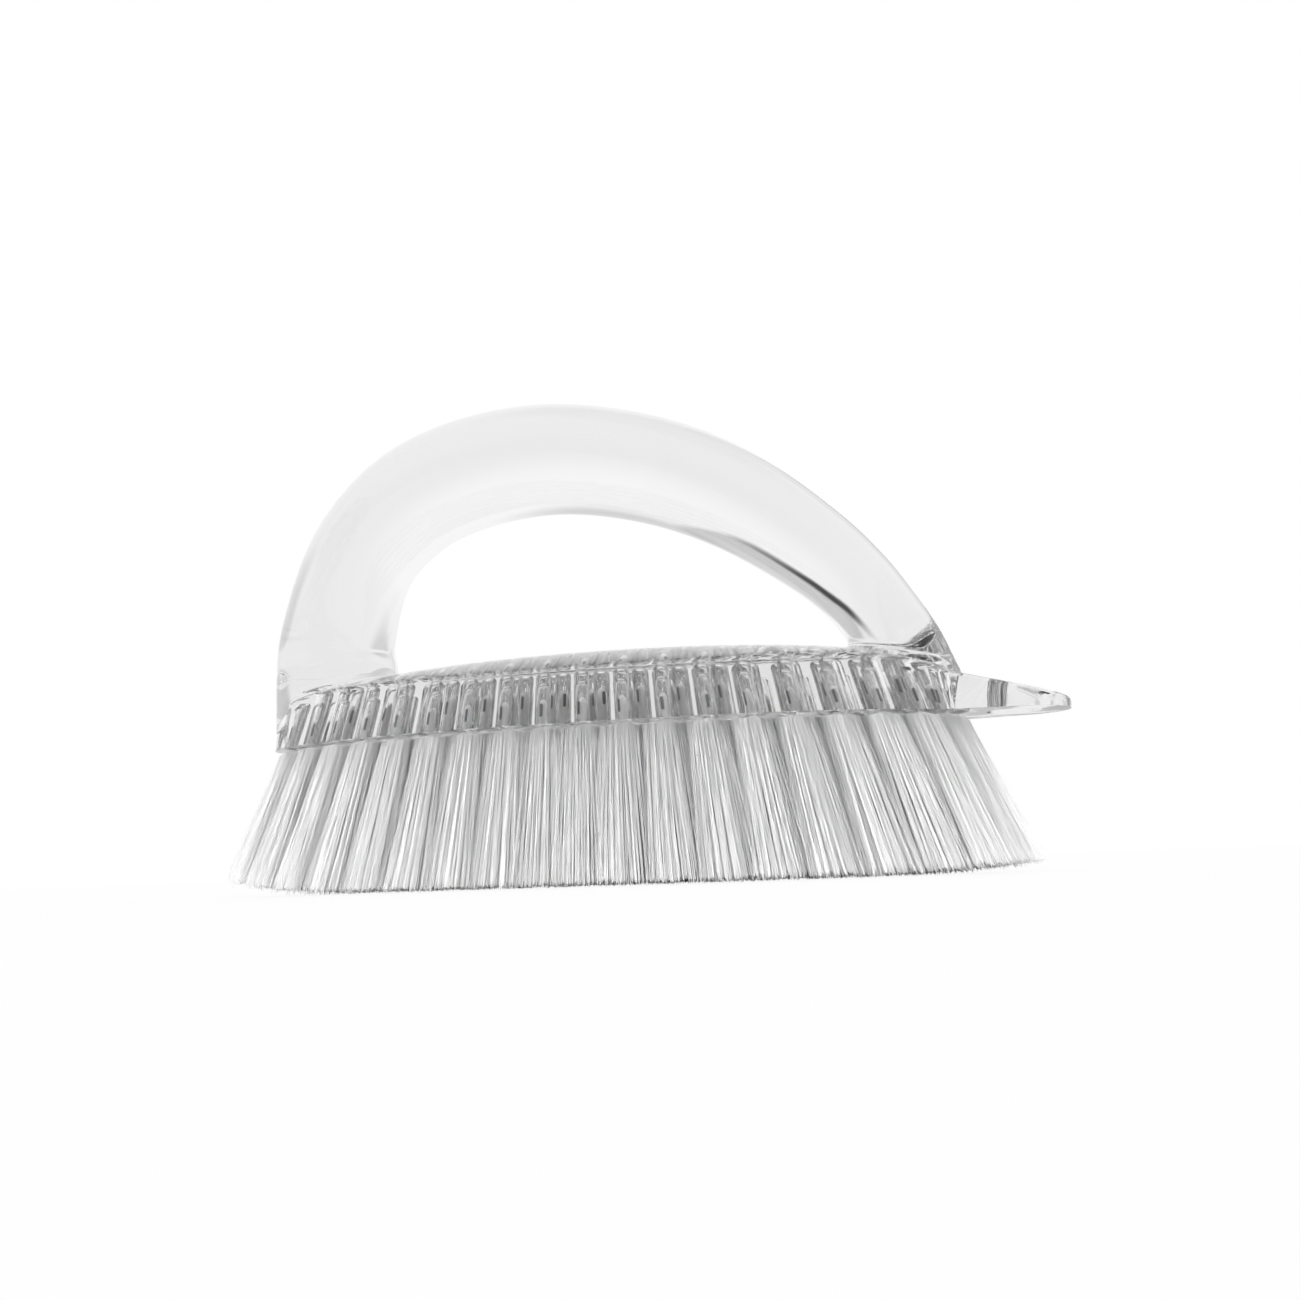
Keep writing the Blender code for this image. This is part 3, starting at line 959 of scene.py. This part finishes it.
def bristle_piece(name, mouths, hole_depth, filament, settings, draw):
    """A strip of tufts as one mesh, with a tone on each filament: a little chance, and painted
    shade that rises from dark at the root to light at the tip.
    """
    shape = np.array([vertex.co for vertex in filament.data.vertices])
    faces = [tuple(face.vertices) for face in filament.data.polygons]
    points = []
    for mouth in mouths:
        points += tuft_points(mouth, hole_depth, shape, settings, draw)
    along = shape[:, 2]
    # Each filament's tone: a share of chance, and painted shade that is dark at its root and light
    # at its tip
    chance_and_shade_tones = [
        CHANCE_SHARE * draw.uniform(0.0, 1.0) + (1.0 - CHANCE_SHARE) * along for _ in points
    ]
    all_faces = [
        tuple(len(shape) * number + corner for corner in face)
        for number in range(len(points))
        for face in faces
    ]
    mesh = bpy.data.meshes.new(name)
    mesh.from_pydata(np.concatenate(points).tolist(), [], all_faces)
    tone = mesh.attributes.new("tone", "FLOAT", "POINT")
    tone.data.foreach_set("value", np.concatenate(chance_and_shade_tones))
    piece = bpy.data.objects.new(name, mesh)
    bpy.context.scene.collection.objects.link(piece)
    activate(piece)
    bpy.ops.object.shade_smooth_by_angle(angle=FILAMENT_SMOOTH_ANGLE)
    return piece


class BRUSH_OT_bristles(bpy.types.Operator):
    """Fans the fine filament tufts, one piece for each strip of the underside"""

    bl_idname = "brush.bristles"
    bl_label = "Filament tufts"

    def execute(self, context):
        settings = context.scene.scrubbing_brush
        material = nylon_filament(settings.finish)
        draw = random.Random(SEED)
        filament = model_filament()
        for row in tuft_rows(settings):
            for number, mouths in enumerate(strips_of(row), 1):
                name = f"{row.name}_bristles_{number:02d}"
                piece = bristle_piece(name, mouths, row.hole_depth, filament, settings, draw)
                finish_piece(piece, material, [f"{row.name}_tufts_{number:02d}"])
        bpy.data.meshes.remove(filament.data)
        return {"FINISHED"}


class BRUSH_OT_anchors(bpy.types.Operator):
    """Sets the flat steel anchor across the fold of each tuft, one piece for each row"""

    bl_idname = "brush.anchors"
    bl_label = "Steel anchors"

    def execute(self, context):
        settings = context.scene.scrubbing_brush
        tufts = settings.tufts
        material = anchor_steel(settings.finish)
        draw = random.Random(SEED)
        bpy.ops.mesh.primitive_cube_add(size=1.0)
        anchor = started("anchor")
        with editing(anchor):
            size = (tufts.anchor_length, tufts.anchor_thickness, tufts.anchor_height)
            bpy.ops.transform.resize(value=size)
            bpy.ops.mesh.bevel(offset=tufts.anchor_thickness * ANCHOR_EDGE_SHARE, segments=1)
        for row in tuft_rows(settings):
            middle = row.hole_depth - tufts.anchor_gap - tufts.anchor_height / 2
            up = Matrix.Translation((0.0, 0.0, middle))
            turns = [Matrix.Rotation(draw.uniform(*ANCHOR_TURNS), 4, "Z") for _ in row.mouths]
            places = [
                lean_matrix(mouth, settings) @ up @ turn
                for mouth, turn in zip(row.mouths, turns)
            ]
            piece = copies(anchor, places, f"{row.name}_anchors")
            finish_piece(piece, material)
        bpy.data.meshes.remove(anchor.data)
        return {"FINISHED"}


def new_material(name):
    """A material with nodes, and its shader."""
    material = bpy.data.materials.new(name)
    material.use_nodes = True
    return material, material.node_tree.nodes["Principled BSDF"]


def add_node(owner, kind, **settings):
    """A new node of a material or the world, with its settings."""
    node = owner.node_tree.nodes.new(kind)
    for setting, value in settings.items():
        setattr(node, setting, value)
    return node


def noise_bump(material, shader, scale, strength, distance):
    """A faint unevenness over the whole surface, from noise in the piece's own space."""
    links = material.node_tree.links
    place = add_node(material, "ShaderNodeTexCoord")
    noise = add_node(material, "ShaderNodeTexNoise")
    noise.inputs["Scale"].default_value = scale
    noise.inputs["Detail"].default_value = 2.0
    bump = add_node(material, "ShaderNodeBump")
    bump.inputs["Strength"].default_value = strength
    bump.inputs["Distance"].default_value = distance
    links.new(place.outputs["Object"], noise.inputs["Vector"])
    links.new(noise.outputs["Fac"], bump.inputs["Height"])
    links.new(bump.outputs["Normal"], shader.inputs["Normal"])


def clear_plastic(finish):
    """Polished clear plastic with the faint waves of a moulded surface, greyer where thick."""
    material, shader = new_material("clear_plastic")
    shader.inputs["Base Color"].default_value = (*finish.clear_tint, 1.0)
    shader.inputs["Roughness"].default_value = 0.02
    shader.inputs["IOR"].default_value = 1.52
    shader.inputs["Transmission Weight"].default_value = 1.0
    noise_bump(material, shader, scale=120.0, strength=0.03, distance=0.0002)
    depth = add_node(material, "ShaderNodeVolumeAbsorption")
    depth.inputs["Color"].default_value = (0.0, 0.0, 0.0, 1.0)
    depth.inputs["Density"].default_value = finish.clear_depth
    output = material.node_tree.nodes["Material Output"]
    material.node_tree.links.new(depth.outputs["Volume"], output.inputs["Volume"])
    return material


def nylon_filament(finish):
    """Satin filament, each one a little lighter or darker at random, with painted shade that
    darkens it towards its root and lightens it towards its tip.
    """
    material, shader = new_material("nylon_filament")
    links = material.node_tree.links
    # The tone attribute through the ramp: random per filament, plus painted shade at the roots and
    # painted light at the tips
    tone = add_node(material, "ShaderNodeAttribute", attribute_name="tone")
    ramp = add_node(material, "ShaderNodeValToRGB")
    for element, share in zip(ramp.color_ramp.elements, FILAMENT_SHADE_TONES):
        element.color = (*(min(value * share, 1.0) for value in finish.filament_colour), 1.0)
    links.new(tone.outputs["Fac"], ramp.inputs["Fac"])
    links.new(ramp.outputs["Color"], shader.inputs["Base Color"])
    shader.inputs["Roughness"].default_value = 0.5
    shader.inputs["IOR"].default_value = 1.4
    shader.inputs["Specular IOR Level"].default_value = 0.1
    shader.inputs["Subsurface Weight"].default_value = 1.0
    shader.inputs["Subsurface Radius"].default_value = (1.0, 1.0, 1.0)
    shader.subsurface_method = "BURLEY"
    shader.inputs["Subsurface Scale"].default_value = 0.0005
    return material


def anchor_steel(finish):
    """Dull cut steel, blotched by the drawing of the wire."""
    material, shader = new_material("anchor_steel")
    shader.inputs["Base Color"].default_value = (*finish.steel_colour, 1.0)
    shader.inputs["Metallic"].default_value = 1.0
    shader.inputs["Roughness"].default_value = 0.3
    noise_bump(material, shader, scale=2500.0, strength=0.3, distance=0.0001)
    return material


def add_math(owner, operation, first, second):
    """A maths node over two sockets or numbers, and its result."""
    node = add_node(owner, "ShaderNodeMath", operation=operation)
    for socket, value in zip(node.inputs, (first, second)):
        if isinstance(value, bpy.types.NodeSocket):
            owner.node_tree.links.new(value, socket)
        else:
            socket.default_value = value
    return node.outputs["Value"]


def show_tone(owner, lit, plain_kind, tone, share):
    """Shows white to the camera, and a tone to clear and glossy surfaces, over a lit shader."""
    nodes, links = owner.node_tree.nodes, owner.node_tree.links
    path = add_node(owner, "ShaderNodeLightPath").outputs
    plain = add_node(owner, plain_kind)
    mix = add_node(owner, "ShaderNodeMixShader")
    through = add_math(owner, "MAXIMUM", path["Is Glossy Ray"], path["Is Transmission Ray"])
    through = add_math(owner, "SUBTRACT", through, path["Diffuse Depth"])
    seen = add_math(owner, "MAXIMUM", path["Is Camera Ray"], through)
    links.new(add_math(owner, "MAXIMUM", path["Is Camera Ray"], tone), plain.inputs["Color"])
    links.new(add_math(owner, "MULTIPLY", seen, share), mix.inputs["Fac"])
    links.new(lit, mix.inputs[1])
    links.new(plain.outputs[0], mix.inputs[2])
    output = next(node for node in nodes if node.type.startswith("OUTPUT"))
    links.new(mix.outputs["Shader"], output.inputs["Surface"])


def card_tone(owner, coordinates, cards, tone):
    """A plain tone with darker cards in it, over the directions or places given."""
    links = owner.node_tree.links
    place = add_node(owner, "ShaderNodeTexCoord").outputs[coordinates]
    for centre, turn, size, edge_start, shade in cards:
        card = add_node(owner, "ShaderNodeMapping", vector_type="TEXTURE")
        card.inputs["Location"].default_value = centre
        card.inputs["Rotation"].default_value = turn.to_euler()
        card.inputs["Scale"].default_value = (*size, max(size))
        distance = add_node(owner, "ShaderNodeVectorMath", operation="LENGTH")
        edge = add_node(owner, "ShaderNodeMapRange", interpolation_type="SMOOTHSTEP")
        edge.inputs["From Min"].default_value = edge_start
        edge.inputs["To Min"].default_value = shade
        links.new(place, card.inputs["Vector"])
        links.new(card.outputs["Vector"], distance.inputs[0])
        links.new(distance.outputs["Value"], edge.inputs["Value"])
        tone = add_math(owner, "MULTIPLY", edge.outputs["Result"], tone)
    return tone


def hung_card(axis, roll, *look):
    """A card of the studio in a direction, turned to face the brush and rolled."""
    centre = Vector(axis).normalized()
    face = centre.to_track_quat("Z", "Y")
    return centre, face @ Quaternion(UP, math.radians(roll)), *look


def laid_card(place, turn, *look):
    """A card that lies on the floor."""
    return place, Quaternion(UP, math.radians(turn)), *look


def add_light(name, place, size, power):
    """A soft box, which no surface mirrors."""
    data = bpy.data.lights.new(name, "AREA")
    data.size = size
    data.energy = power
    light = bpy.data.objects.new(name, data)
    bpy.context.scene.collection.objects.link(light)
    light.location = place
    light.rotation_mode = "QUATERNION"
    middle = (CAD_BOX[0] + CAD_BOX[1]) / 2
    light.rotation_quaternion = (middle - Vector(place)).to_track_quat("-Z", "Y")
    light.visible_glossy = False
    light.visible_transmission = False


def add_camera(scene):
    camera = bpy.data.objects.new("camera", bpy.data.cameras.new("camera"))
    scene.collection.objects.link(camera)
    camera.data.sensor_width = SENSOR_WIDTH
    camera.data.lens = CAMERA_LENS
    camera.data.clip_start = CAMERA_NEAR
    camera.location = CAMERA_PLACE
    aim = (CAMERA_AIM - CAMERA_PLACE).to_track_quat("-Z", "Y")
    camera.rotation_mode = "QUATERNION"
    camera.rotation_quaternion = aim @ Quaternion(UP, CAMERA_ROLL)
    scene.camera = camera


class BRUSH_OT_stage(bpy.types.Operator):
    """Sets the pale floor, the white studio, the soft light and the camera"""

    bl_idname = "brush.stage"
    bl_label = "Studio stage"

    def execute(self, context):
        finish = context.scene.scrubbing_brush.finish
        bpy.ops.mesh.primitive_plane_add(size=FLOOR_SIZE, location=(0.0, 0.0, -FLOOR_DROP))
        floor = started("floor")
        material, shader = new_material("floor")
        shader.inputs["Base Color"].default_value = (*finish.floor_colour, 1.0)
        shader.inputs["Roughness"].default_value = 0.9
        laid = [laid_card(*card) for card in FLOOR_CARDS]
        tone = card_tone(material, "Object", laid, FLOOR_TONE)
        lit = shader.outputs["BSDF"]
        show_tone(material, lit, "ShaderNodeEmission", tone, 1.0 - SHADOW_SHARE)
        floor.data.materials.append(material)

        world = bpy.data.worlds.new("studio")
        world.use_nodes = True
        light = world.node_tree.nodes["Background"]
        light.inputs["Color"].default_value = (1.0, 1.0, 1.0, 1.0)
        light.inputs["Strength"].default_value = 1.0
        hung = [hung_card(*card) for card in CARDS]
        tone = card_tone(world, "Generated", hung, 1.0)
        lit = light.outputs["Background"]
        show_tone(world, lit, "ShaderNodeBackground", tone, 1.0)
        context.scene.world = world

        add_light("key_light", KEY_LIGHT_PLACE, KEY_LIGHT_SIZE, KEY_LIGHT_POWER)
        add_camera(context.scene)
        context.scene.view_settings.view_transform = "Standard"
        return {"FINISHED"}


class BRUSH_PT_panel(bpy.types.Panel):
    """Lists the pieces of the brush and the stage"""

    bl_idname = "BRUSH_PT_panel"
    bl_label = "Clear scrubbing brush"
    bl_space_type = "VIEW_3D"
    bl_region_type = "UI"
    bl_category = "Brush"

    def draw(self, context):
        settings = context.scene.scrubbing_brush
        for operator in OPERATORS:
            self.layout.operator(operator.bl_idname)
        for group in (settings.moulding, settings.tufts, settings.finish):
            box = self.layout.box()
            for name in group.__annotations__:
                box.prop(group, name)


OPERATORS = (BRUSH_OT_moulding, BRUSH_OT_bristles, BRUSH_OT_anchors, BRUSH_OT_stage)
CLASSES = (
    BRUSH_PG_moulding,
    BRUSH_PG_tufts,
    BRUSH_PG_finish,
    BRUSH_PG_settings,
    *OPERATORS,
    BRUSH_PT_panel,
)


def register():
    for cls in CLASSES:
        bpy.utils.register_class(cls)
    bpy.types.Scene.scrubbing_brush = PointerProperty(type=BRUSH_PG_settings)


def unregister():
    del bpy.types.Scene.scrubbing_brush
    for cls in reversed(CLASSES):
        bpy.utils.unregister_class(cls)


def main():
    register()
    bpy.ops.brush.moulding()
    bpy.ops.brush.bristles()
    bpy.ops.brush.anchors()
    bpy.ops.brush.stage()


if __name__ == "__main__":
    main()
